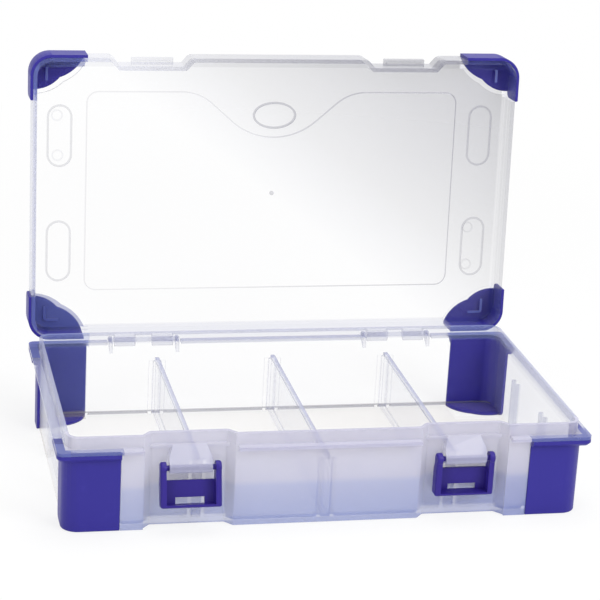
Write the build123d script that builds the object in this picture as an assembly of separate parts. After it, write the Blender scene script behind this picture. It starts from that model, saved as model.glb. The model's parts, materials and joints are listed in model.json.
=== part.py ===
from build123d import *
import os

# A clear compartment storage box with a hinged lid, shown open.
# Millimetres. +X is to the right, +Y to the back, +Z up. The origin is the centre of the tray's underside.

# Overall driving dimensions
tray_half_x = 149.8
tray_half_y = 85.0
seam_z = 49.4
tongue_top_z = 56.3
lid_depth = 18.0
corner_radius = 8.0

# Clear walls
wall = 2.2
floor_thick = 2.2
lid_wall = 2.4
lid_panel = 2.0
tongue_inset = 0.2
flange_reach = 5.4
flange_thick = 1.9
flange_corner = 4.0
lid_reach = 3.4
seam_gap = 0.2

# Front wall, set back where the latches hang
latch_from_end = 69.8
latch_zone_half = 25.9
latch_zone_slant = 4.5
latch_zone_depth = 5.2
latch_zone_round = 1.5
latch_flange_reach = 1.7
flange_step_margin = 1.0
pillar_reach = 1.5
pillar_gap = 0.3

# Corner guards
guard_thick = 1.7
guard_gap = 0.1
base_leg_x = 32.4
base_leg_y = 23.5
lid_leg_x = 34.8
lid_leg_y = 28.0
leg_end_round = 4.0
guard_lip_reach = 3.6
guard_lip_height = 3.8
guard_lip_bevel = 1.8
guard_edge_radius = 0.6
web_notch_x = 19.4
web_notch_y = 16.5
web_bulge = 1.7
web_end = 2.0

# Latches, measured from the pivot
pivot_drop = 12.1
pivot_reach = 7.0
latch_inner_half = 14.0
latch_post = 3.4
latch_post_radius = 3.6
latch_front = 2.8
latch_back = 4.8
latch_web = 1.6
latch_web_top = 7.3
latch_shoulder_y = 3.1
latch_shoulder_drop = 1.5
latch_length = 22.5
latch_lip = 1.7
latch_slot_width = 16.7
latch_slot_height = 3.8
latch_bar_radius = 1.6
latch_edge_radius = 1.3
left_latch_swing = 16.0

# Snap brackets that hold the latch bars
bracket_width = 24.3
bracket_wall = 1.5
bracket_corner = 3.0
bar_clearance = 0.08
snap_mouth = 2.7

# Catch ridges on the lid
catch_width = 25.8
catch_reach = 4.8
catch_clearance = 0.3
catch_height = 3.65
catch_pocket_margin = 1.6
catch_pocket_depth = 2.0

# Hinges
hinge_from_end = 67.5
hinge_axis_back = 6.0
hinge_axis_drop = 0.4
ear_offset = 21.2
ear_thick = 2.0
ear_radius = 2.3
ear_foot_z = 42.0
hinge_flange_gap = 0.6
pin_radius = 1.5
pin_overhang = 0.6
pin_clearance = 0.02
barrel_radius = 4.2
barrel_inner = 5.5
barrel_outer = 18.6
barrel_clearance = 0.08
lid_open_angle = 93.0

# Dividers and their guides
divider_from_latch = 5.5
divider_thick = 1.8
divider_top_z = 39.9
divider_bead = 2.8
divider_bead_height = 2.0
divider_foot = 3.9
divider_foot_height = 1.5
divider_end = 4.9
divider_end_depth = 2.0
divider_lift = 0.3
guide_clearance = 0.35
guide_rib = 2.4
guide_depth = 2.7
guide_top_z = 38.0

# Marks moulded in the lid, their places measured from its rear edge
emboss_half_x = 119.5
emboss_front = 156.0
emboss_rear = 27.0
emboss_height = 0.7
emboss_slope = 1.6
emboss_corner = 8.0
dip_half = 48.0
dip_apex = 114.0
dip_radius = 40.0
dip_shoulder = 30.0
mark_height = 0.5
mark_line = 1.3
slot_mark_x = 135.4
slot_mark_places = (53.5, 127.3)
slot_mark_width = 15.8
slot_mark_length = 39.6
oval_place = 140.5
oval_half_x = 13.9
oval_half_y = 8.6
gate_radius = 1.4
corner_rib_x = 10.4
corner_rib_y = 8.4
corner_rib_length = 9.6
corner_rib_line = 1.5
corner_rib_bend = 2.5
corner_rib_height = 0.9

# How far a cutter runs past what it cuts, and how deep a raised mark is rooted in its panel
overcut = 1.0
root = 0.1
# How near a point must be to a place to count as on it
near = 0.05

# Worked out from the sizes above
guard_reach = guard_gap + guard_thick
guard_half_x = tray_half_x + guard_reach
guard_half_y = tray_half_y + guard_reach
lid_half_x = tray_half_x + lid_reach
lid_half_y = tray_half_y + lid_reach
lid_outer_x = lid_half_x + guard_reach
lid_outer_y = lid_half_y + guard_reach
lid_bottom_z = seam_z + seam_gap
lid_top_z = seam_z + lid_depth
lid_field_z = lid_top_z - lid_panel
platform_z = guard_thick + guard_gap
lid_platform_z = lid_top_z - platform_z
flange_bottom_z = seam_z - flange_thick
latch_x = tray_half_x - latch_from_end
latch_zone_end = latch_x + latch_zone_half
latch_wall_y = -tray_half_y + latch_zone_depth
pivot_y = latch_wall_y - pivot_reach
pivot_z = seam_z - pivot_drop
hinge_x = tray_half_x - hinge_from_end
hinge_y = tray_half_y + hinge_axis_back
hinge_z = seam_z - hinge_axis_drop
divider_x = latch_x - divider_from_latch
divider_rest_z = floor_thick + divider_lift
guide_slot = divider_end + 2 * guide_clearance
BASE_LEGS = (base_leg_x, base_leg_y)
LID_LEGS = (lid_leg_x, lid_leg_y)
SIDES = {"left": -1, "right": 1}
ENDS = {"front": -1, "rear": 1}
CORNERS = [(sx, sy) for sx in (-1, 1) for sy in (-1, 1)]


def outline(grow=0.0, radius=None):
    """The tray wall from above with its latch zones, moved outward by grow."""
    inner = latch_x - latch_zone_half
    right = [
        (inner, -tray_half_y),
        (inner + latch_zone_slant, latch_wall_y),
        (latch_zone_end - latch_zone_slant, latch_wall_y),
        (latch_zone_end, -tray_half_y),
        (tray_half_x, -tray_half_y),
        (tray_half_x, tray_half_y),
    ]
    left = [(-x, y) for x, y in reversed(right)]
    face = make_face(Polyline(*right, *left, close=True))
    jogs = [v for v in face.vertices() if abs(v.X) < latch_zone_end + near]
    face = fillet(jogs, latch_zone_round)
    if grow:
        face = offset(face, amount=grow, kind=Kind.INTERSECTION)
    corners = [v for v in face.vertices() if abs(v.X) > tray_half_x + grow - near]
    return fillet(corners, radius or corner_radius + grow)


def slab(face, low, high):
    """The face as a solid from one height to another."""
    return Pos(0, 0, low) * extrude(face, amount=high - low)


def block(x0, x1, y0, y1, z0, z1):
    """A box between pairs of coordinates, given in either order."""
    middle = Pos((x0 + x1) / 2, (y0 + y1) / 2, (z0 + z1) / 2)
    return middle * Box(abs(x1 - x0), abs(y1 - y0), abs(z1 - z0))


def profile(points, x0, x1):
    """A closed outline of (y, z) points as a solid between two x values."""
    face = make_face(Polyline(*[(0, y, z) for y, z in points], close=True))
    return Pos(x0, 0, 0) * extrude(face, amount=x1 - x0, dir=(1, 0, 0))


def rod(x0, x1, y, z, radius):
    """A round rod along X."""
    return Pos((x0 + x1) / 2, y, z) * Rot(0, 90, 0) * Cylinder(radius, abs(x1 - x0))


def lobe(start, end):
    """One bulging edge of a corner plate."""
    middle = [(a + b) / 2 - web_bulge for a, b in zip(start, end)]
    return ThreePointArc(start, tuple(middle), end)


def web_face(corner, legs, sx, sy, grow=0.0):
    """A corner plate seen from above: two bulging lobes that meet in a notch."""
    half_x, half_y = corner
    reach_x = half_x - legs[0] - grow
    reach_y = half_y - legs[1] + leg_end_round - grow
    meeting = (half_x - web_notch_x - grow, half_y - web_notch_y - grow)
    first = (reach_x, half_y - web_end)
    last = (half_x - web_end, reach_y)
    far = (half_x + overcut, half_y + overcut)
    edges = [
        Line((reach_x, far[1]), first),
        lobe(first, meeting),
        lobe(meeting, last),
        Line(last, (far[0], reach_y)),
        Line((far[0], reach_y), far),
        Line(far, (reach_x, far[1])),
    ]
    face = make_face(edges)
    if sx < 0:
        face = mirror(face, Plane.YZ)
    if sy < 0:
        face = mirror(face, Plane.XZ)
    return face


def on_wall(edge, half_x, half_y, radius):
    """Whether an edge lies on the outside of a rounded corner wall."""
    middle = edge.center()
    past_x = max(abs(middle.X) - half_x + radius, 0)
    past_y = max(abs(middle.Y) - half_y + radius, 0)
    return abs((past_x**2 + past_y**2) ** 0.5 - radius) < near


def guard_lip(high):
    """The ledge under the tray's flange, bevelled below."""
    face = outline(guard_reach + guard_lip_reach, flange_corner)
    lip = slab(face, high - guard_lip_height, high)
    return chamfer(lip.faces().sort_by(Axis.Z)[0].edges(), guard_lip_bevel)


def leg_ends(corner, legs, sx, sy, low, high, outer_z):
    """The room that a corner guard's two legs fill, rounded at the side leg's outer end."""
    far = guard_lip_reach + overcut
    x_end, y_end = sx * (corner[0] - legs[0]), sy * (corner[1] - legs[1])
    room = block(x_end, sx * (corner[0] + far), y_end, sy * (corner[1] + far), low, high)
    end_edges = [e for e in room.edges() if abs(e.center().Y - y_end) < near]
    return fillet([e for e in end_edges if abs(e.center().Z - outer_z) < near], leg_end_round)


def corner_guard(sx, sy, base, legs, low, high, web_low):
    """An L of two thin walls round a corner, with a wavy plate under or over it."""
    inside = slab(outline(base + guard_gap), low, high)
    outside = slab(outline(base + guard_reach), low, high)
    half_x = tray_half_x + base + guard_reach
    half_y = tray_half_y + base + guard_reach
    outer_z = low if web_low == low else high
    walls = outside - inside
    if outer_z == low:
        walls += guard_lip(high) - inside
    walls &= leg_ends((half_x, half_y), legs, sx, sy, low, high, outer_z)
    web = slab(web_face((half_x, half_y), legs, sx, sy), web_low, web_low + guard_thick)
    guard = walls + (web & outside)
    rim = [
        edge
        for edge in guard.edges()
        if abs(edge.center().Z - outer_z) < near
        and on_wall(edge, half_x, half_y, corner_radius + base + guard_reach)
    ]
    return fillet(rim, guard_edge_radius)


def inner_walls(x):
    """The y of the front and rear walls' inner faces at a divider's place."""
    in_zone = abs(abs(x) - latch_x) < latch_zone_half - latch_zone_slant
    front = latch_wall_y if in_zone else -tray_half_y
    return front + wall, tray_half_y - wall


def guide_ribs(x):
    """The two ribs on each of the front and rear walls that hold a divider's end."""
    ribs = []
    half = guide_slot / 2
    for sy, face_y in zip((-1, 1), inner_walls(x)):
        for sx in (-1, 1):
            ribs.append(
                block(
                    x + sx * half,
                    x + sx * (half + guide_rib),
                    face_y - sy * guide_depth,
                    face_y + sy * wall / 2,
                    floor_thick / 2,
                    guide_top_z,
                )
            )
    return ribs


def side_guides():
    """Pairs of like ribs on the side walls, a third of the depth apart, for lengthwise dividers."""
    ribs = []
    half = guide_slot / 2
    face_x = tray_half_x - wall
    for sx, sy in CORNERS:
        y = sy * (tray_half_y - wall) / 3
        for end in (-1, 1):
            ribs.append(
                block(
                    sx * (face_x - guide_depth),
                    sx * (face_x + wall / 2),
                    y + end * half,
                    y + end * (half + guide_rib),
                    floor_thick / 2,
                    guide_top_z,
                )
            )
    return ribs


def latch_bracket(x):
    """A gusset under the flange that ends in a snap ring for the latch bar."""
    bore = latch_bar_radius + bar_clearance
    ring = bore + bracket_wall
    low, high = x - bracket_width / 2, x + bracket_width / 2
    rooted_y = latch_wall_y + wall / 2
    points = [
        (rooted_y, seam_z),
        (latch_wall_y - latch_flange_reach, seam_z),
        (pivot_y - ring, pivot_z + ring / 2),
        (pivot_y - ring, pivot_z),
        (pivot_y, pivot_z - ring),
        (rooted_y, pivot_z - ring),
    ]
    gusset = profile(points, low, high) + rod(low, high, pivot_y, pivot_z, ring)
    gusset -= rod(low - overcut, high + overcut, pivot_y, pivot_z, bore)
    mouth = (pivot_y - snap_mouth / 2, pivot_y + snap_mouth / 2)
    gusset -= block(low - overcut, high + overcut, *mouth, pivot_z - 2 * ring, pivot_z)
    for side, edge in ((-1, low), (1, high)):
        tip_z = seam_z + overcut
        corner = [(edge, seam_z - 2 * bracket_corner), (edge, tip_z), (edge - side * bracket_corner, tip_z)]
        face = make_face(Polyline(*[(px, latch_wall_y, pz) for px, pz in corner], close=True))
        gusset -= extrude(face, amount=pivot_reach + 2 * ring, dir=(0, -1, 0))
    return gusset


def hinge_ear(x):
    """A plate on the tray's rear wall that carries one end of a hinge pin."""
    low, high = x - ear_thick / 2, x + ear_thick / 2
    rooted_y = tray_half_y - wall / 2
    points = [
        (rooted_y, ear_foot_z),
        (tray_half_y + ear_thick / 2, ear_foot_z),
        (hinge_y + ear_radius, hinge_z - ear_radius),
        (hinge_y + ear_radius, hinge_z),
        (rooted_y, hinge_z),
    ]
    ear = profile(points, low, high) + rod(low, high, hinge_y, hinge_z, ear_radius)
    return ear - rod(low - overcut, high + overcut, hinge_y, hinge_z, pin_radius + pin_clearance)


def make_flange():
    """The rim flange, narrow over the latches and cut away at the hinges."""
    flange = slab(outline(flange_reach, flange_corner), flange_bottom_z, seam_z)
    low, high = flange_bottom_z - overcut, seam_z + overcut
    far = tray_half_y + 2 * flange_reach
    step = latch_zone_half + flange_step_margin
    step_y = latch_wall_y - latch_flange_reach
    cut = ear_offset + ear_thick / 2 + pin_overhang + hinge_flange_gap
    for side in (-1, 1):
        x = side * latch_x
        flange -= block(x - step, x + step, step_y, -far, low, high)
        x = side * hinge_x
        flange -= block(x - cut, x + cut, tray_half_y, far, low, high)
    return flange


def make_tray():
    """The clear tray: floor, walls, flange, tongue, guides, brackets and hinge ears."""
    tray = slab(outline(), 0, seam_z) + make_flange()
    tray += slab(outline(-tongue_inset), seam_z / 2, tongue_top_z)
    pillar_start = guard_half_x - base_leg_x - pillar_gap
    for side in (-1, 1):
        tray += block(
            side * pillar_start,
            side * (latch_zone_end - near),
            -tray_half_y - pillar_reach,
            -tray_half_y + wall / 2,
            0,
            seam_z - flange_thick / 2,
        )
    tray -= slab(outline(-wall), floor_thick, tongue_top_z + overcut)
    within = slab(outline(-wall / 2), 0, seam_z)
    for sx, sy in CORNERS:
        pocket = web_face((guard_half_x, guard_half_y), BASE_LEGS, sx, sy, guard_gap)
        tray -= slab(pocket, 0, platform_z)
        platform = web_face((guard_half_x, guard_half_y), BASE_LEGS, sx, sy, wall)
        tray += slab(platform, platform_z, platform_z + floor_thick) & within
    for x in (-divider_x, 0, divider_x):
        for rib in guide_ribs(x):
            tray += rib
    for rib in side_guides():
        tray += rib
    for side in (-1, 1):
        tray += latch_bracket(side * latch_x)
        for end in (-1, 1):
            tray += hinge_ear(side * hinge_x + end * ear_offset)
    return tray


def lid_y(place):
    """The y of a place measured from the lid's rear edge, lid closed."""
    return lid_outer_y - place


def emboss_face():
    """The shallow raised field of the lid panel, with its dip round the oval mark."""
    rear, front = lid_y(emboss_rear), lid_y(emboss_front)
    right = [(emboss_half_x, rear), (emboss_half_x, front), (dip_half, front)]
    left = [(-x, y) for x, y in reversed(right)]
    face = make_face(Polyline(*right, (0, lid_y(dip_apex)), *left, close=True))
    for x, radius in ((0, dip_radius), (dip_half, dip_shoulder), (emboss_half_x, emboss_corner)):
        face = fillet([v for v in face.vertices() if abs(abs(v.X) - x) < near], radius)
    return face


def emboss():
    """The raised field as a solid with sloping sides."""
    face = emboss_face()
    foot = Pos(0, 0, lid_field_z + root) * face
    inner = offset(face, amount=-emboss_slope, kind=Kind.INTERSECTION)
    crest = Pos(0, 0, lid_field_z - emboss_height) * inner
    return loft([foot.faces()[0], crest.faces()[0]], ruled=True)


def lid_marks():
    """Thin raised lines on the inside of the lid panel."""
    line = 2 * mark_line
    top = lid_field_z + root
    low = lid_field_z - mark_height
    ring = SlotOverall(slot_mark_length, slot_mark_width, rotation=90)
    ring -= SlotOverall(slot_mark_length - line, slot_mark_width - line, rotation=90)
    oval = Ellipse(oval_half_x, oval_half_y) - Ellipse(oval_half_x - mark_line, oval_half_y - mark_line)
    marks = []
    for place in slot_mark_places:
        for sx in (-1, 1):
            marks.append(slab(Pos(sx * slot_mark_x, lid_y(place)) * ring, low, top))
    marks.append(slab(Pos(0, lid_y(oval_place)) * oval, low - emboss_height, top))
    marks.append(slab(Circle(gate_radius), low - emboss_height, top))
    return marks


def corner_rib(sx, sy):
    """A small raised L with a round bend inside each lid corner."""
    x, y = lid_outer_x - corner_rib_x, lid_outer_y - corner_rib_y
    x_end, y_end = x - corner_rib_length, y - corner_rib_length
    x_in, y_in = x - corner_rib_line, y - corner_rib_line
    points = [(x, y), (x, y_end), (x_in, y_end), (x_in, y_in), (x_end, y_in), (x_end, y)]
    face = make_face(Polyline(*[(sx * px, sy * py) for px, py in points], close=True))
    for corner, radius in ((x, corner_rib_bend), (x_in, corner_rib_bend - corner_rib_line)):
        bend = [v for v in face.vertices() if abs(abs(v.X) - corner) < near and abs(v.Y) > y_in - near]
        face = fillet(bend, radius)
    high = lid_platform_z - lid_panel + root
    return slab(face, high - root - corner_rib_height, high)


def catch_ridge(x):
    """The ridge on the lid's front that the latch lip hooks over."""
    y = -lid_half_y + latch_zone_depth
    top = pivot_z + latch_length - latch_lip - catch_clearance
    bottom = top - catch_height
    half = catch_width / 2
    margin = catch_pocket_margin
    ridge = block(x - half, x + half, y - catch_reach, y + lid_wall / 2, bottom, top)
    pocket_half = half - margin
    pocket_top = bottom + catch_pocket_depth
    return ridge - block(
        x - pocket_half, x + pocket_half, y - catch_reach + margin, y - margin, bottom - overcut, pocket_top
    )


def hinge_barrel(x0, x1):
    """One of the lid's round knuckles, joined to its rear wall."""
    foot_y = lid_half_y - lid_wall / 2
    barrel = rod(x0, x1, hinge_y, hinge_z, barrel_radius)
    barrel += block(x0, x1, foot_y, hinge_y, lid_bottom_z, hinge_z + barrel_radius)
    return barrel - rod(x0 - overcut, x1 + overcut, hinge_y, hinge_z, pin_radius + barrel_clearance)


def make_lid():
    """The clear lid, drawn closed."""
    lid = slab(outline(lid_reach), lid_bottom_z, lid_top_z)
    lid -= slab(outline(lid_reach - lid_wall), lid_bottom_z - overcut, lid_field_z)
    within = slab(outline(lid_reach - lid_wall / 2), seam_z, lid_top_z)
    for sx, sy in CORNERS:
        pocket = web_face((lid_outer_x, lid_outer_y), LID_LEGS, sx, sy, guard_gap)
        lid -= slab(pocket, lid_platform_z, lid_top_z + overcut)
        platform = web_face((lid_outer_x, lid_outer_y), LID_LEGS, sx, sy, lid_wall)
        lid += slab(platform, lid_platform_z - lid_panel, lid_platform_z) & within
        lid += corner_rib(sx, sy)
    lid += emboss()
    for mark in lid_marks():
        lid += mark
    for side in (-1, 1):
        lid += catch_ridge(side * latch_x)
        x = side * hinge_x
        lid += hinge_barrel(x - barrel_outer, x - barrel_inner)
        lid += hinge_barrel(x + barrel_inner, x + barrel_outer)
    return lid


def latch_post_shape(x0, x1):
    """One of a latch's two side posts, rounded over its bar."""
    points = [
        (-latch_front, 0),
        (-latch_front, -latch_length),
        (latch_back, -latch_length),
        (latch_back, -latch_web_top),
        (latch_shoulder_y, -latch_shoulder_drop),
    ]
    return profile(points, x0, x1) + rod(x0, x1, 0, 0, latch_post_radius)


def make_latch():
    """A latch hanging from its bar, pivot at the origin, open face to the front."""
    outer = latch_inner_half + latch_post
    inner = latch_inner_half + latch_post / 2
    body = latch_post_shape(-outer, -latch_inner_half) + latch_post_shape(latch_inner_half, outer)
    lip_top = -latch_length + latch_lip
    body += block(-inner, inner, latch_back - latch_web, latch_back, -latch_length, -latch_web_top)
    body += block(-inner, inner, -latch_front, latch_back, -latch_length, lip_top)
    half = latch_slot_width / 2
    slot_y = (latch_back - 2 * latch_web, latch_back + overcut)
    body -= block(-half, half, *slot_y, lip_top, lip_top + latch_slot_height)
    edges = [
        edge
        for edge in body.edges()
        if abs(abs(edge.center().X) - outer) < near
        or (abs(edge.center().Z + latch_length) < near and abs(edge.center().X) < near)
    ]
    return fillet(edges, latch_edge_radius) + rod(-inner, inner, 0, 0, latch_bar_radius)


def make_divider(x):
    """A thin partition with thick ends that slide in the tray's guides."""
    front, rear = inner_walls(x)
    y0, y1 = front + guide_clearance, rear - guide_clearance
    z0, z1 = divider_rest_z, divider_top_z
    bead_z = z1 - divider_bead_height
    thin, bead, foot, end = [size / 2 for size in (divider_thick, divider_bead, divider_foot, divider_end)]
    divider = block(x - thin, x + thin, y0, y1, z0, z1)
    divider += block(x - bead, x + bead, y0, y1, bead_z, z1)
    divider += block(x - foot, x + foot, y0, y1, z0, z0 + divider_foot_height)
    divider += block(x - end, x + end, y0, y0 + divider_end_depth, z0, bead_z)
    return divider + block(x - end, x + end, y1 - divider_end_depth, y1, z0, bead_z)


def open_lid(shape):
    """Turns a piece of the closed lid to the open rest position."""
    return shape.rotate(Axis((0, hinge_y, hinge_z), (-1, 0, 0)), lid_open_angle)


def build():
    """Every piece of the box under the name of its file."""
    pieces = {"tray": make_tray(), "lid": open_lid(make_lid())}
    guard_top = flange_bottom_z - guard_gap
    for end, sy in ENDS.items():
        for side, sx in SIDES.items():
            pieces[f"base_corner_{end}_{side}"] = corner_guard(sx, sy, 0, BASE_LEGS, 0, guard_top, 0)
            web_low = lid_top_z - guard_thick
            guard = corner_guard(sx, sy, lid_reach, LID_LEGS, lid_bottom_z, lid_top_z, web_low)
            pieces[f"lid_corner_{end}_{side}"] = open_lid(guard)
    latch = make_latch()
    pin_half = ear_offset + ear_thick / 2 + pin_overhang
    swings = {"left": latch.rotate(Axis.X, -left_latch_swing), "right": latch}
    for side, sx in SIDES.items():
        x = sx * hinge_x
        pieces[f"latch_{side}"] = Pos(sx * latch_x, pivot_y, pivot_z) * swings[side]
        pieces[f"hinge_pin_{side}"] = rod(x - pin_half, x + pin_half, hinge_y, hinge_z, pin_radius)
    for name, x in (("left", -divider_x), ("middle", 0), ("right", divider_x)):
        pieces[f"divider_{name}"] = make_divider(x)
    return pieces


os.makedirs("parts", exist_ok=True)
for name, shape in build().items():
    export_step(shape, f"parts/{name}.step")
    print(name, "solids", len(shape.solids()), "volume", round(shape.volume, 1))
print("hinge axis y", round(hinge_y, 3), "z", round(hinge_z, 3))
print("latch pivot y", round(pivot_y, 3), "z", round(pivot_z, 3))
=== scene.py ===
import json
import math

import bmesh
import bpy
from bpy.props import FloatProperty, FloatVectorProperty, PointerProperty
from mathutils import Matrix, Vector

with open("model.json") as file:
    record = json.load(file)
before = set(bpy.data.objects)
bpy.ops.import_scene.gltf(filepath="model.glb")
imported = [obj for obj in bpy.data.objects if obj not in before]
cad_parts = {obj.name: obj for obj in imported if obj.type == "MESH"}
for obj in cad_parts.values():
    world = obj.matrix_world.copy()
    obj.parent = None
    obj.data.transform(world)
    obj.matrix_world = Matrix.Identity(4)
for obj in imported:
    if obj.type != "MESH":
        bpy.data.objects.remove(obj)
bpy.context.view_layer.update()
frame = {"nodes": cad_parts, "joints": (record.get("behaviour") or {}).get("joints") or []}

bl_info = {
    "name": "Compartment Storage Box",
    "version": (1, 0, 0),
    "blender": (4, 5, 0),
    "location": "3D View > Sidebar > Storage Box",
    "description": "Finishes a clear storage box with its plastics, mould marks and a pale studio",
    "category": "Object",
}

# The box as it was loaded, before anything is added
nodes = frame["nodes"]
joints = {joint["name"]: joint for joint in frame["joints"]}

DIVIDER_NODES = ("divider_left", "divider_middle", "divider_right")
PIN_NODES = ("hinge_pin_left", "hinge_pin_right")
LATCH_NODES = ("latch_left", "latch_right")
GUARD_NODES = tuple(
    f"{half}_corner_{end}_{side}"
    for half in ("base", "lid")
    for end in ("front", "rear")
    for side in ("left", "right")
)

MM = 1000.0


def reach(name):
    """The least and the greatest corner of a CAD node, in millimetres."""
    places = [MM * vertex.co for vertex in nodes[name].data.vertices]
    low = Vector([min(place[axis] for place in places) for axis in range(3)])
    high = Vector([max(place[axis] for place in places) for axis in range(3)])
    return low, high


# Faces of the tray, in millimetres from its middle and its underside
tray_low, tray_high = reach("tray")
guard_low, guard_high = reach("base_corner_rear_right")
FLANGE_X = tray_high.x
FLANGE_Y = -tray_low.y
RIM_Z = tray_high.z
GUARD_X, GUARD_Y, GUARD_Z = guard_low.x, guard_low.y, guard_high.z
END_WALL_X = FLANGE_X - 7.8
REAR_WALL_Y = FLANGE_Y - 10.4
FLANGE_Z = GUARD_Z + 1.0
FLANGE_REACH = 5.0
FLOOR_SEAM_Y, FLOOR_SEAM_Z = 81.5, 2.6
RAIL_FRONT_Y = 20.0
SIDE_GUIDE_X, SIDE_GUIDE_Y = 146.0, 27.6
SIDE_GUIDE_HALF_X, SIDE_GUIDE_HALF_Y = 1.5, 5.6
EAR_Y, EAR_Z = 85.6, 41.0
BRACKET_X, BRACKET_Y = MM * joints["latch_right_hinge"]["pos_m"][0], -81.6
BRACKET_HALF_X = 12.4
BEAD_Z = reach("divider_middle")[1].z - 2.3

# Where one look of the tray turns into the next: the start and the end of the fade, in millimetres
FRONT_WALL_FADE = (-74.0, -76.4)
OUTER_FACE_FADE = (-77.6, -79.0)
END_WALL_FADE = (145.0, END_WALL_X)
FLOOR_FADE = (4.8, 3.4)
WARM_FLOOR_FADE = (-80.0, 150.0)
TONGUE_FADE = (48.9, 49.6)
RIM_FADE = (RIM_Z - 0.4, RIM_Z - 0.1)
FRONT_HEIGHT_FADE, FRONT_FOOT_FADE = (49.0, -8.0), (28.0, 23.0)
FRONT_RIGHT_FADE = (20.0, 160.0)

# The lid's hinge, and how far the lid stands open
HINGE_Y, HINGE_Z = (MM * value for value in joints["lid_hinge"]["pos_m"][1:])
LID_OPEN = math.radians(-joints["lid_hinge"]["range_deg"][0])

# Faces of the shut lid, in millimetres: x from the middle, y from the hinge and z from the table
LID_INNER_X = 149.6
LID_INNER_REAR, LID_INNER_FRONT = -5.4, -171.4
LID_EDGE_Z = 49.6
RAISED_FIELD_X, RAISED_FIELD_Z = 121.0, 65.07
LONG_MARK_X, LONG_MARK_Z = 122.0, 64.9
OVAL_X, OVAL_Z = 16.0, 64.25
CORNER_RIB_X, CORNER_RIB_Z = 130.0, 62.75
GUARD_PLATE_X, GUARD_PLATE_INNER_Z, GUARD_PLATE_OUTER_Z = 116.0, 63.6, 65.6
LID_GUARD_X, LID_GUARD_REAR, LID_GUARD_FRONT = 120.2, -28.8, -153.2
LIT_REAR = -40.0
KNUCKLE_RADIUS = 4.5

# The lid's painted shade, a grey darkening that stands in for light falling off: how it grows with each
# millimetre to the right and to the front, and what is taken off
PAINTED_SHADE_TO_RIGHT, PAINTED_SHADE_TO_FRONT, PAINTED_SHADE_OFF = 0.00208, 0.0027, 0.235
LID_RIGHT_FADE = (-90.0, 90.0)

# Where the mould's ejector pins left rings in the lid's long marks: x, and y from the hinge
EJECTOR_MARKS = ((-137.0, -140.8), (-136.4, -115.5), (132.0, -66.8), (132.5, -41.8))

# The photograph's camera: a long lens looking down and to the right
CAMERA_PLACE = (-0.271972, -1.175141, 0.514168)
CAMERA_YAW = math.radians(12.898)
CAMERA_PITCH = math.radians(18.739)
CAMERA_ROLL = math.radians(3.223)
CAMERA_FOCAL_PIXELS = 2141.472
PICTURE_PIXELS = 600
SENSOR_MM = 36.0

# The studio in metres, apart from the fade to white, which is in millimetres from the box
FLOOR_RADIUS = 4.0
FLOOR_DROP = 0.0004
WHITE_FLOOR_FADE = (300.0, 900.0)
LIGHT_TARGET = (0.0, 0.0, 0.09)
KEY_PLACE, KEY_WIDTH = (0.95, -1.15, 1.25), 0.9
FILL_PLACE, FILL_WIDTH = (-1.25, -0.95, 0.8), 1.1
TOP_PLACE, TOP_WIDTH = (0.1, 0.15, 1.6), 1.2

# What every colour and every light's power have in common
COLOUR = {"subtype": "COLOR", "size": 3, "min": 0.0, "max": 1.0}
POWER = {"subtype": "POWER", "unit": "POWER", "min": 0.0}


class BoxSettings(bpy.types.PropertyGroup):
    """Colours and sizes of the box's finish."""

    clear_tint: FloatVectorProperty(
        name="Clear tint",
        description="Colour that the clear plastic scatters",
        default=(0.42, 0.44, 0.62),
        **COLOUR,
    )
    front_tint: FloatVectorProperty(
        name="Front tint",
        description="Colour of the milky front wall near its top",
        default=(0.55, 0.54, 0.69),
        **COLOUR,
    )
    deep_tint: FloatVectorProperty(
        name="Deep tint",
        description="Colour of the milky front wall near its foot",
        default=(0.28, 0.34, 0.64),
        **COLOUR,
    )
    # Painted reflection: the pale colour that the clear plastic takes at grazing angles stands in for
    # its reflection
    glare_tint: FloatVectorProperty(
        name="Glare tint",
        description="Colour of the clear plastic where it is seen at a grazing angle",
        default=(0.88, 0.89, 0.96),
        **COLOUR,
    )
    floor_tint: FloatVectorProperty(
        name="Floor tint",
        description="Warm grey that the floor picks up towards its right end",
        default=(0.60, 0.52, 0.44),
        **COLOUR,
    )
    # Blue of the clear plastic over the guards; on the tray's flange it is painted blue light scattered
    # from the guard
    guard_blue_tint: FloatVectorProperty(
        name="Stained tint",
        description="Colour of the clear plastic over the blue guards",
        default=(0.13, 0.16, 0.48),
        **COLOUR,
    )
    # Grey of the moulded marks, and also the grey of the lid's painted shade
    mark_and_shade_tint: FloatVectorProperty(
        name="Mark tint",
        description="Grey of the lines moulded in the lid",
        default=(0.20, 0.20, 0.26),
        **COLOUR,
    )
    edge_tint: FloatVectorProperty(
        name="Edge tint",
        description="Colour of the clear plastic where it is seen edge on",
        default=(0.24, 0.26, 0.48),
        **COLOUR,
    )
    blue: FloatVectorProperty(
        name="Guard blue",
        description="Colour of the corner guards",
        default=(0.034, 0.026, 0.29),
        **COLOUR,
    )
    latch_blue: FloatVectorProperty(
        name="Latch blue",
        description="Colour of the two latches",
        default=(0.032, 0.018, 0.245),
        **COLOUR,
    )
    front_milk: FloatProperty(
        name="Front milkiness",
        description="Share of the light that the front wall stops near its top",
        subtype="FACTOR",
        min=0.0,
        max=1.0,
        default=0.44,
    )
    # Painted shade: strength of the grey darkening towards the lid's front right corner, which stands in
    # for light falling off
    lid_painted_shade: FloatProperty(
        name="Lid haze",
        description="Strength of the grey haze towards the lid's front right corner",
        subtype="FACTOR",
        min=0.0,
        max=1.0,
        default=0.56,
    )
    edge_softness: FloatProperty(
        name="Edge softness",
        description="Width of the rounding on moulded edges",
        subtype="DISTANCE",
        unit="LENGTH",
        min=0.0,
        max=0.001,
        default=0.0003,
    )
    ejector_radius: FloatProperty(
        name="Ejector mark radius",
        description="Radius of the round marks left by the mould's ejector pins",
        subtype="DISTANCE",
        unit="LENGTH",
        min=0.0005,
        max=0.005,
        default=0.0032,
    )


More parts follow.
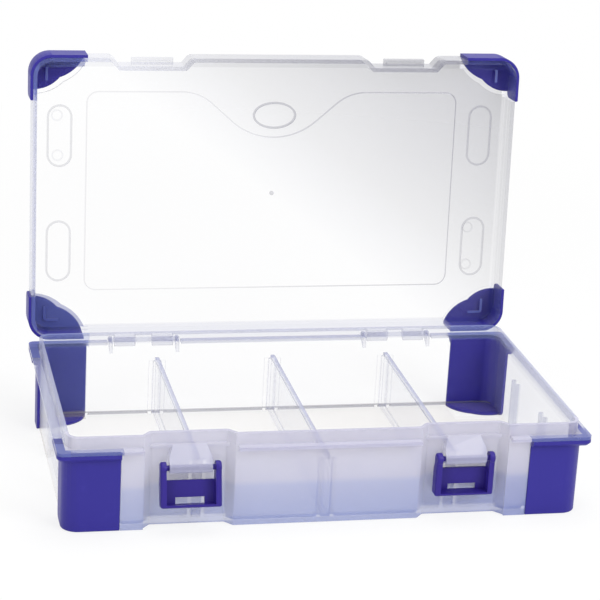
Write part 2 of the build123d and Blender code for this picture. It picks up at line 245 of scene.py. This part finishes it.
class StudioSettings(bpy.types.PropertyGroup):
    """Light levels of the studio."""

    key_power: FloatProperty(
        name="Key light",
        description="Power of the large light at the front right",
        default=16.0,
        **POWER,
    )
    fill_power: FloatProperty(
        name="Fill light",
        description="Power of the light at the front left",
        default=7.0,
        **POWER,
    )
    top_power: FloatProperty(
        name="Top light",
        description="Power of the light overhead",
        default=11.0,
        **POWER,
    )
    room_light: FloatProperty(
        name="Room light",
        description="Strength of the even light all round",
        min=0.0,
        max=2.0,
        default=0.5,
    )


class Line:
    """One shader socket. Arithmetic on it adds Math nodes."""

    def __init__(self, sheet, socket):
        self.sheet = sheet
        self.socket = socket

    def maths(self, operation, *values, clamp=False):
        """The output of one Math node."""
        settings = {"operation": operation, "use_clamp": clamp}
        return self.sheet.node("ShaderNodeMath", settings, dict(enumerate(values)))[0]

    def __add__(self, other):
        return self.maths("ADD", self, other)

    def __radd__(self, other):
        return self.maths("ADD", other, self)

    def __sub__(self, other):
        return self.maths("SUBTRACT", self, other)

    def __rsub__(self, other):
        return self.maths("SUBTRACT", other, self)

    def __mul__(self, other):
        return self.maths("MULTIPLY", self, other)

    def __rmul__(self, other):
        return self.maths("MULTIPLY", other, self)

    def __pow__(self, other):
        return self.maths("POWER", self, other)

    def __lt__(self, other):
        return self.maths("LESS_THAN", self, other)

    def __gt__(self, other):
        return self.maths("GREATER_THAN", self, other)

    def __abs__(self):
        return self.maths("ABSOLUTE", self)

    def within(self):
        """The value held between 0 and 1."""
        return self.maths("ADD", self, 0.0, clamp=True)

    def most(self, other):
        """The greater of two values."""
        return self.maths("MAXIMUM", self, other)

    def fade(self, start, end):
        """0 at start, 1 at end and smooth between them."""
        made = self.sheet.node(
            "ShaderNodeMapRange",
            {"interpolation_type": "SMOOTHSTEP"},
            {"Value": self, "From Min": start, "From Max": end, "To Min": 0.0, "To Max": 1.0},
        )
        return made["Result"]


class Made:
    """A node that was just added, whose outputs are read by name or number."""

    def __init__(self, sheet, node):
        self.sheet = sheet
        self.node = node

    def __getitem__(self, key):
        return Line(self.sheet, self.node.outputs[key])


class Sheet:
    """A node tree that is filled from Python expressions."""

    def __init__(self, tree):
        self.tree = tree
        self.tree.nodes.clear()

    def node(self, kind, settings=None, values=None):
        """Adds one node: its settings first, then the values or links of its sockets."""
        made = self.tree.nodes.new(kind)
        for key, value in (settings or {}).items():
            setattr(made, key, value)
        for key, value in (values or {}).items():
            if isinstance(value, Line):
                self.tree.links.new(value.socket, made.inputs[key])
            else:
                made.inputs[key].default_value = value
        return Made(self, made)

    def point(self):
        """The point on the object, in metres."""
        return self.node("ShaderNodeTexCoord")["Object"]

    def place(self, point):
        """The x, y and z of a point, in millimetres."""
        parts = self.node("ShaderNodeSeparateXYZ", values={0: point})
        return parts[0] * MM, parts[1] * MM, parts[2] * MM

    def noise(self, point, scale, detail=2.0, roughness=0.5):
        """A noise over the surface."""
        values = {"Vector": point, "Scale": scale, "Detail": detail, "Roughness": roughness}
        return self.node("ShaderNodeTexNoise", values=values)["Fac"]

    def stretch(self, point, factors):
        """A point with its x, y and z multiplied by factors."""
        return self.node("ShaderNodeVectorMath", {"operation": "MULTIPLY"}, {0: point, 1: factors})[0]

    def mix(self, factor, first, second):
        """A colour between two colours, which are links or three numbers."""
        colours = {"Factor": factor, 6: opaque(first), 7: opaque(second)}
        return self.node("ShaderNodeMix", {"data_type": "RGBA"}, colours)[2]

    def bump(self, height, strength, distance):
        """A normal that follows a height."""
        values = {"Height": height, "Strength": strength, "Distance": distance}
        return self.node("ShaderNodeBump", values=values)["Normal"]

    def finish(self, shader):
        """Gives the material its shader."""
        self.node("ShaderNodeOutputMaterial", values={"Surface": shader})


def opaque(colour):
    """A colour of three numbers with a full alpha; a link stays as it is."""
    return colour if isinstance(colour, Line) else (*tuple(colour), 1.0)


def new_material(name):
    """An empty node material and the sheet of its nodes."""
    material = bpy.data.materials.new(name)
    material.use_nodes = True
    return material, Sheet(material.node_tree)


def surface_wear(sheet, point):
    """Noises that every moulded surface shares: slow flow, fine grain and short scuffs."""
    flow = sheet.noise(point, 16.0, 3.0)
    grain = sheet.noise(point, 900.0, 2.0)
    scuffs = sheet.noise(sheet.stretch(point, (1.0, 6.0, 9.0)), 60.0, 5.0, 0.7)
    return flow, grain, scuffs


def clear_plastic(name, settings, look, roughness=0.16, grazing=0.75):
    """Milky see-through plastic.

    look(sheet, settings, x, y, z) gives the share of light that each place stops and its colour.
    """
    material, sheet = new_material(name)
    point = sheet.point()
    flow, grain, scuffs = surface_wear(sheet, point)
    face, tint = look(sheet, settings, *sheet.place(point))
    # Painted reflection: at grazing angles the plastic turns denser and paler in place of its reflection
    glare = sheet.node("ShaderNodeLayerWeight", values={"Blend": 0.5})["Facing"] ** 6.0
    cloud = 0.94 + 0.12 * flow
    scratched = (scuffs - 0.64).most(0.0) * 0.06
    solid = (face * cloud + (grazing - grazing * face) * glare + scratched).within()
    cloudy = sheet.mix(0.08 * flow, tint, settings.edge_tint)
    shader = sheet.node(
        "ShaderNodeBsdfPrincipled",
        values={
            "Base Color": sheet.mix(glare, cloudy, settings.glare_tint),
            "Roughness": (roughness + 0.1 * scuffs + 0.05 * grain).within(),
            "IOR": 1.5,
            "Specular IOR Level": 0.35,
            "Alpha": solid,
            "Normal": sheet.bump(flow * 0.7 + grain * 0.01 + scuffs * 0.03, 0.35, 0.0006),
        },
    )
    sheet.finish(shader["BSDF"])
    return material


def dense_edge(name, settings, solid):
    """The same plastic along its moulded edges, where more of it is seen through."""
    material, sheet = new_material(name)
    flow, grain, scuffs = surface_wear(sheet, sheet.point())
    shader = sheet.node(
        "ShaderNodeBsdfPrincipled",
        values={
            "Base Color": sheet.mix(0.4 * flow, settings.edge_tint, settings.clear_tint),
            "Roughness": 0.12 + 0.12 * scuffs,
            "IOR": 1.5,
            "Specular IOR Level": 0.4,
            "Alpha": (solid * (0.75 + 0.5 * flow)).within(),
            "Normal": sheet.bump(grain, 0.1, 0.0001),
        },
    )
    sheet.finish(shader["BSDF"])
    return material


def blue_plastic(name, tint, depth, roughness):
    """Moulded polypropylene with a fine grain, faint flow down to depth of its colour and paler rubs."""
    material, sheet = new_material(name)
    point = sheet.point()
    flow, grain, scuffs = surface_wear(sheet, point)
    rubbed = (sheet.noise(point, 120.0, 4.0, 0.65) - 0.58).most(0.0) * 0.6
    deep = [depth * channel for channel in tint]
    pale = [min(1.0, 1.5 * channel + 0.02) for channel in tint]
    shader = sheet.node(
        "ShaderNodeBsdfPrincipled",
        values={
            "Base Color": sheet.mix(rubbed.within(), sheet.mix(flow, deep, tint), pale),
            "Roughness": (roughness + 0.14 * scuffs + 0.1 * grain).within(),
            "IOR": 1.49,
            "Specular IOR Level": 0.25,
            "Normal": sheet.bump(flow * 0.6 + grain * 0.18 + scuffs * 0.1, 0.3, 0.0004),
        },
    )
    sheet.finish(shader["BSDF"])
    return material


def band(value, middle, half, soft=0.08):
    """1 within half of the middle and 0 past it."""
    return 1.0 - abs(value - middle).fade(half, half + soft)


def front_wall(sheet, settings, x, z, bracket):
    """The front wall's share and colour: bluer and denser at its foot, most of all at the right."""
    foot = 0.4 * z.fade(*FRONT_FOOT_FADE) + 0.6 * z.fade(*FRONT_HEIGHT_FADE)
    right_foot = x.fade(*FRONT_RIGHT_FADE) * foot
    shade = sheet.mix(foot, settings.front_tint, settings.deep_tint)
    shade = sheet.mix((0.5 * right_foot).within(), shade, settings.guard_blue_tint)
    shade = sheet.mix((0.3 * bracket).within(), shade, settings.clear_tint)
    return settings.front_milk + 0.1 * foot + 0.1 * right_foot, shade


def tray_rims(x, y, z):
    """The share of the rims round the tray's top, and where they lie over a guard and are tinted with
    painted blue light from it.
    """
    outer = (abs(x) > FLANGE_X - FLANGE_REACH).most(abs(y) > FLANGE_Y - FLANGE_REACH)
    flange = band(z, FLANGE_Z, 1.05) * outer
    # Painted blue light: where the flange lies over a guard it is tinted as if lit by light scattered
    # from the guard
    over_guard = flange * (abs(x) > GUARD_X - 1.2) * (abs(y) > GUARD_Y - 2.3)
    end_rim = (abs(x) > END_WALL_X) * (z > GUARD_Z - 1.4)
    corners = over_guard * (0.25 * (y > 0.0) - 0.1 * (y < 0.0))
    return 0.22 * z.fade(*RIM_FADE) + 0.16 * flange + 0.08 * end_rim + corners, over_guard


def tray_look(sheet, settings, x, y, z):
    """Milky in the front wall and rims, warm along the floor, and nearly clear elsewhere.

    Each mask is 1 on its own place and 0 off it, and its factor is the share of light stopped there.
    """
    across = abs(x)
    front = y.fade(*FRONT_WALL_FADE)
    inside = 1.0 - y.fade(*OUTER_FACE_FADE)
    floor = z.fade(*FLOOR_FADE) * inside
    tongue = z.fade(*TONGUE_FADE) * (1.0 - front)
    bracket = (abs(across - BRACKET_X) < BRACKET_HALF_X) * (y < BRACKET_Y)
    milk, shade = front_wall(sheet, settings, x, z, bracket)
    upright = 0.01 + 0.03 * across.fade(*END_WALL_FADE) + 0.1 * tongue + milk * front
    over_guard = (across > GUARD_X - 0.2) * (y > GUARD_Y - 2.3)
    warm = floor * (1.0 - over_guard) * (0.008 + 0.06 * x.fade(*WARM_FLOOR_FADE))
    # Painted blue light: the flange over each guard is tinted as if lit by light scattered from the
    # guard
    rims, guard_lit_rim = tray_rims(x, y, z)
    # The rear corners and the left rail, which show paler against the guards
    rear_wall = y > REAR_WALL_Y
    backed = (x < 0.2 - GUARD_X) * rear_wall * (z < GUARD_Z - 0.2)
    blush = (across > GUARD_X - 1.7) * rear_wall * (z > GUARD_Z - 0.2)
    rail = (x < -END_WALL_X) * (y > RAIL_FRONT_Y) * (z < GUARD_Z - 0.6)
    # The small moulded forms
    ears = (y > EAR_Y) * (z > EAR_Z)
    guides = band(across, SIDE_GUIDE_X, SIDE_GUIDE_HALF_X) * inside
    guides = guides * (abs(abs(y) - SIDE_GUIDE_Y) < SIDE_GUIDE_HALF_Y)
    seam = band(z, FLOOR_SEAM_Z, 0.5) * (y > FLOOR_SEAM_Y)
    pale = 0.24 * backed + 0.16 * blush + 0.2 * rail
    details = 0.05 * bracket + 0.22 * ears + 0.22 * guides + 0.5 * seam
    solid = upright * (1.0 - 0.9 * floor) + warm + rims + pale + details
    tint = settings.clear_tint
    for place, colour in (
        (backed, settings.guard_blue_tint),
        (blush, settings.deep_tint),
        (rail, settings.glare_tint),
        (front, shade),
        (floor, settings.floor_tint),
        (guard_lit_rim.within(), settings.guard_blue_tint),
        (seam.within(), settings.mark_and_shade_tint),
    ):
        tint = sheet.mix(place, tint, colour)
    return solid.within(), tint


def shut_place(y, z):
    """Where a point of the open lid is when the lid is shut: y from the hinge and z from the table."""
    back, up = y - HINGE_Y, z - HINGE_Z
    shut_y = back * math.cos(LID_OPEN) - up * math.sin(LID_OPEN)
    shut_z = back * math.sin(LID_OPEN) + up * math.cos(LID_OPEN) + HINGE_Z
    return shut_y, shut_z


def ejector_rings(settings, x, shut_y):
    """Faint rings where the mould's pins pushed the lid out."""
    rings = 0.0
    for ring_x, ring_y in EJECTOR_MARKS:
        away = ((x - ring_x) ** 2.0 + (shut_y - ring_y) ** 2.0) ** 0.5
        rings = rings + band(away, MM * settings.ejector_radius, 0.3, 0.4)
    return rings


def moulded_lines(settings, x, shut_y, shut_z, right):
    """The outlines of the lid's raised field, long marks and oval, and the ejector rings."""
    across = abs(x)
    field = band(shut_z, RAISED_FIELD_Z, 0.17) * (across < RAISED_FIELD_X) * (0.16 + 0.2 * right)
    marks = band(shut_z, LONG_MARK_Z, 0.12) * (across > LONG_MARK_X) * 0.24
    oval = band(shut_z, OVAL_Z, 0.3) * (across < OVAL_X) * 0.36
    return field + marks + oval + 0.07 * ejector_rings(settings, x, shut_y)


def lid_look(sheet, settings, x, y, z):
    """Clear, with grey moulded lines, painted shade that darkens it towards the front right, and bluish
    corners.

    Each mask is 1 on its own place and 0 off it, and its factor is the share of light stopped there.
    """
    shut_y, shut_z = shut_place(y, z)
    across = abs(x)
    right = x.fade(*LID_RIGHT_FADE)
    inside = (across < LID_INNER_X) * (shut_y < LID_INNER_REAR) * (shut_y > LID_INNER_FRONT)
    lines = moulded_lines(settings, x, shut_y, shut_z, right) * inside
    # The corners, where the lid lies against its blue guards
    ends = (shut_y > LID_GUARD_REAR).most(shut_y < LID_GUARD_FRONT) * (across > LID_GUARD_X)
    corner_walls = ends * (1.0 - inside)
    ribs = band(shut_z, CORNER_RIB_Z, 0.2) * (across > CORNER_RIB_X) * inside
    plates = band(shut_z, GUARD_PLATE_INNER_Z, 0.3).most(band(shut_z, GUARD_PLATE_OUTER_Z, 0.08, 0.04))
    plates = plates * (across > GUARD_PLATE_X)
    lit = plates * (1.0 - 0.9 * right) * (shut_y > LIT_REAR)
    corners = (0.34 - 0.28 * right) * corner_walls * (shut_y < LID_INNER_REAR) + 0.7 * ribs + 0.55 * lit
    # Painted shade: a grey darkening grows towards the front right and leaves the corners clear
    painted_shade = (PAINTED_SHADE_TO_RIGHT * x - PAINTED_SHADE_TO_FRONT * shut_y - PAINTED_SHADE_OFF).most(0.0)
    painted_shade = painted_shade * (1.0 - 0.95 * plates) * (1.0 - corner_walls)
    outer_side = across > LID_INNER_X
    painted_shade_share = painted_shade * (settings.lid_painted_shade - 0.16 * outer_side)
    # The walls round the panel, and the hinge's knuckles
    rear = (shut_y > LID_INNER_REAR) * (1.0 - ends)
    side = outer_side * (1.0 - right)
    front = shut_y < LID_INNER_FRONT
    rim = band(shut_z, LID_EDGE_Z, 0.3) * (1.0 - 0.7 * ends)
    from_hinge = (shut_y * shut_y + (shut_z - HINGE_Z) ** 2.0) ** 0.5
    knuckles = from_hinge < KNUCKLE_RADIUS
    walls = 0.1 * rear + 0.24 * side + 0.06 * front + 0.12 * rim + 0.07 * knuckles
    solid = 0.006 + painted_shade_share + lines + walls + corners
    # The painted shade and the moulded lines both take the grey of the marks
    tint = sheet.mix((6.0 * painted_shade + 8.0 * lines).within(), settings.clear_tint, settings.mark_and_shade_tint)
    return solid.within(), sheet.mix((corner_walls + ribs + lit).within(), tint, settings.guard_blue_tint)


def divider_look(sheet, settings, x, y, z):
    """Nearly clear, and milky along the top bead."""
    return 0.03 + 0.6 * z.fade(BEAD_Z, BEAD_Z + 0.4), settings.clear_tint


def pin_look(sheet, settings, x, y, z):
    """Evenly milky."""
    return 0.2, settings.clear_tint


def soften(node, width, edge_slot=0):
    """Joins the mesh's seams and rounds its edges, putting the rounding on the material slot edge_slot.
    """
    weld = node.modifiers.new("Joined seams", "WELD")
    weld.merge_threshold = 0.000002
    bevel = node.modifiers.new("Rounded edges", "BEVEL")
    bevel.width = width
    bevel.segments = 2
    bevel.limit_method = "ANGLE"
    bevel.angle_limit = math.radians(35.0)
    bevel.harden_normals = True
    bevel.use_clamp_overlap = True
    bevel.material = edge_slot


def dress(node, *materials):
    """Gives a CAD node its materials, the first on its faces and the second on its edges."""
    node.data.materials.clear()
    for material in materials:
        node.data.materials.append(material)


class STORAGEBOX_OT_clear_parts(bpy.types.Operator):
    """Give the tray, lid, dividers and hinge pins their milky clear plastic"""

    bl_idname = "storage_box.clear_parts"
    bl_label = "Finish clear parts"

    def execute(self, context):
        settings = context.scene.storage_box
        edge = dense_edge("clear_edge", settings, 0.5)
        divider_edge = dense_edge("divider_edge", settings, 0.26)
        tray = clear_plastic("clear_tray", settings, tray_look)
        lid = clear_plastic("clear_lid", settings, lid_look, roughness=0.1)
        divider = clear_plastic("clear_divider", settings, divider_look, grazing=0.25)
        pin = clear_plastic("clear_pin", settings, pin_look)
        finishes = {"tray": (tray, edge), "lid": (lid, edge)}
        finishes.update({name: (divider, divider_edge) for name in DIVIDER_NODES})
        finishes.update({name: (pin, edge) for name in PIN_NODES})
        for name, materials in finishes.items():
            dress(nodes[name], *materials)
            soften(nodes[name], settings.edge_softness, edge_slot=1)
        return {"FINISHED"}


class STORAGEBOX_OT_blue_parts(bpy.types.Operator):
    """Give the corner guards and latches their indigo plastic"""

    bl_idname = "storage_box.blue_parts"
    bl_label = "Finish blue parts"

    def execute(self, context):
        settings = context.scene.storage_box
        guard = blue_plastic("guard_indigo", tuple(settings.blue), 0.85, 0.3)
        latch = blue_plastic("latch_indigo", tuple(settings.latch_blue), 0.8, 0.26)
        for names, material in ((GUARD_NODES, guard), (LATCH_NODES, latch)):
            for name in names:
                dress(nodes[name], material)
                soften(nodes[name], settings.edge_softness)
        return {"FINISHED"}


def area_light(name, place, size, power):
    """A soft square light that points at the box."""
    data = bpy.data.lights.new(name, "AREA")
    data.shape = "SQUARE"
    data.size = size
    data.energy = power
    light = bpy.data.objects.new(name, data)
    bpy.context.scene.collection.objects.link(light)
    light.location = place
    light.rotation_euler = (Vector(LIGHT_TARGET) - Vector(place)).to_track_quat("-Z", "Y").to_euler()


def seen_directly(sheet):
    """1 for what the camera sees straight, in a reflection or through glass."""
    path = sheet.node("ShaderNodeLightPath")
    return path["Is Camera Ray"].most(path["Is Glossy Ray"]).most(path["Is Transmission Ray"])


def floor_paper():
    """Matt pale paper that shows the box's shadow and turns plain white further out."""
    material, sheet = new_material("floor_white")
    point = sheet.point()
    x, y, z = sheet.place(point)
    away = (x * x + y * y) ** 0.5
    white = seen_directly(sheet) * (0.8 + 0.2 * away.fade(*WHITE_FLOOR_FADE))
    paper = sheet.mix(sheet.noise(point, 40.0, 2.0), (0.88, 0.88, 0.88), (0.9, 0.9, 0.9))
    matt = sheet.node("ShaderNodeBsdfDiffuse", values={"Color": paper})
    glow = sheet.node("ShaderNodeEmission", values={"Color": opaque((1.0, 1.0, 1.0)), "Strength": 1.0})
    sheet.finish(sheet.node("ShaderNodeMixShader", values={0: white, 1: matt[0], 2: glow[0]})[0])
    return material


def make_floor():
    """A wide disc of pale paper just under the box."""
    shape = bmesh.new()
    bmesh.ops.create_circle(shape, cap_ends=True, segments=96, radius=FLOOR_RADIUS)
    mesh = bpy.data.meshes.new("floor")
    shape.to_mesh(mesh)
    shape.free()
    mesh.materials.append(floor_paper())
    floor = bpy.data.objects.new("floor", mesh)
    bpy.context.scene.collection.objects.link(floor)
    floor.location = (0.0, 0.0, -FLOOR_DROP)


def make_room(strength):
    """Even light all round, and plain white where the camera or a reflection sees it."""
    world = bpy.data.worlds.new("studio")
    world.use_nodes = True
    bpy.context.scene.world = world
    sheet = Sheet(world.node_tree)
    white = opaque((1.0, 1.0, 1.0))
    light = sheet.node("ShaderNodeBackground", values={"Color": white, "Strength": strength})
    plain = sheet.node("ShaderNodeBackground", values={"Color": white, "Strength": 1.0})
    mixed = sheet.node("ShaderNodeMixShader", values={0: seen_directly(sheet), 1: light[0], 2: plain[0]})
    sheet.node("ShaderNodeOutputWorld", values={"Surface": mixed[0]})


def make_camera():
    """The photograph's view."""
    ahead = Vector((
        math.sin(CAMERA_YAW) * math.cos(CAMERA_PITCH),
        math.cos(CAMERA_YAW) * math.cos(CAMERA_PITCH),
        -math.sin(CAMERA_PITCH),
    ))
    right = Vector((math.cos(CAMERA_YAW), -math.sin(CAMERA_YAW), 0.0))
    up = right.cross(ahead)
    turned_right = math.cos(CAMERA_ROLL) * right + math.sin(CAMERA_ROLL) * up
    turned_up = math.cos(CAMERA_ROLL) * up - math.sin(CAMERA_ROLL) * right
    data = bpy.data.cameras.new("camera")
    data.sensor_width = SENSOR_MM
    data.lens = CAMERA_FOCAL_PIXELS / PICTURE_PIXELS * SENSOR_MM
    data.clip_end = 20.0
    camera = bpy.data.objects.new("camera", data)
    bpy.context.scene.collection.objects.link(camera)
    axes = Matrix((turned_right, turned_up, -ahead)).transposed()
    camera.matrix_world = Matrix.Translation(CAMERA_PLACE) @ axes.to_4x4()
    bpy.context.scene.camera = camera


class STORAGEBOX_OT_studio(bpy.types.Operator):
    """Add the pale floor, the soft lights and the camera"""

    bl_idname = "storage_box.studio"
    bl_label = "Add studio"

    def execute(self, context):
        settings = context.scene.storage_studio
        make_floor()
        make_room(settings.room_light)
        area_light("key_light", KEY_PLACE, KEY_WIDTH, settings.key_power)
        area_light("fill_light", FILL_PLACE, FILL_WIDTH, settings.fill_power)
        area_light("top_light", TOP_PLACE, TOP_WIDTH, settings.top_power)
        make_camera()
        context.scene.view_settings.view_transform = "Standard"
        # The view passes through many clear walls, one behind another
        context.scene.cycles.transparent_max_bounces = 48
        return {"FINISHED"}


OPERATORS = (STORAGEBOX_OT_clear_parts, STORAGEBOX_OT_blue_parts, STORAGEBOX_OT_studio)


class STORAGEBOX_PT_panel(bpy.types.Panel):
    """Lists the steps that finish the storage box"""

    bl_idname = "STORAGEBOX_PT_panel"
    bl_label = "Storage Box"
    bl_space_type = "VIEW_3D"
    bl_region_type = "UI"
    bl_category = "Storage Box"

    def draw(self, context):
        layout = self.layout
        for group in (context.scene.storage_box, context.scene.storage_studio):
            for name in group.__annotations__:
                layout.prop(group, name)
        for operator in OPERATORS:
            layout.operator(operator.bl_idname)


CLASSES = (BoxSettings, StudioSettings, *OPERATORS, STORAGEBOX_PT_panel)


def register():
    for cls in CLASSES:
        bpy.utils.register_class(cls)
    bpy.types.Scene.storage_box = PointerProperty(type=BoxSettings)
    bpy.types.Scene.storage_studio = PointerProperty(type=StudioSettings)


def unregister():
    del bpy.types.Scene.storage_studio
    del bpy.types.Scene.storage_box
    for cls in reversed(CLASSES):
        bpy.utils.unregister_class(cls)


def main():
    """Dresses the whole box."""
    register()
    bpy.ops.storage_box.clear_parts()
    bpy.ops.storage_box.blue_parts()
    bpy.ops.storage_box.studio()
    bpy.context.view_layer.update()


if __name__ == "__main__":
    main()
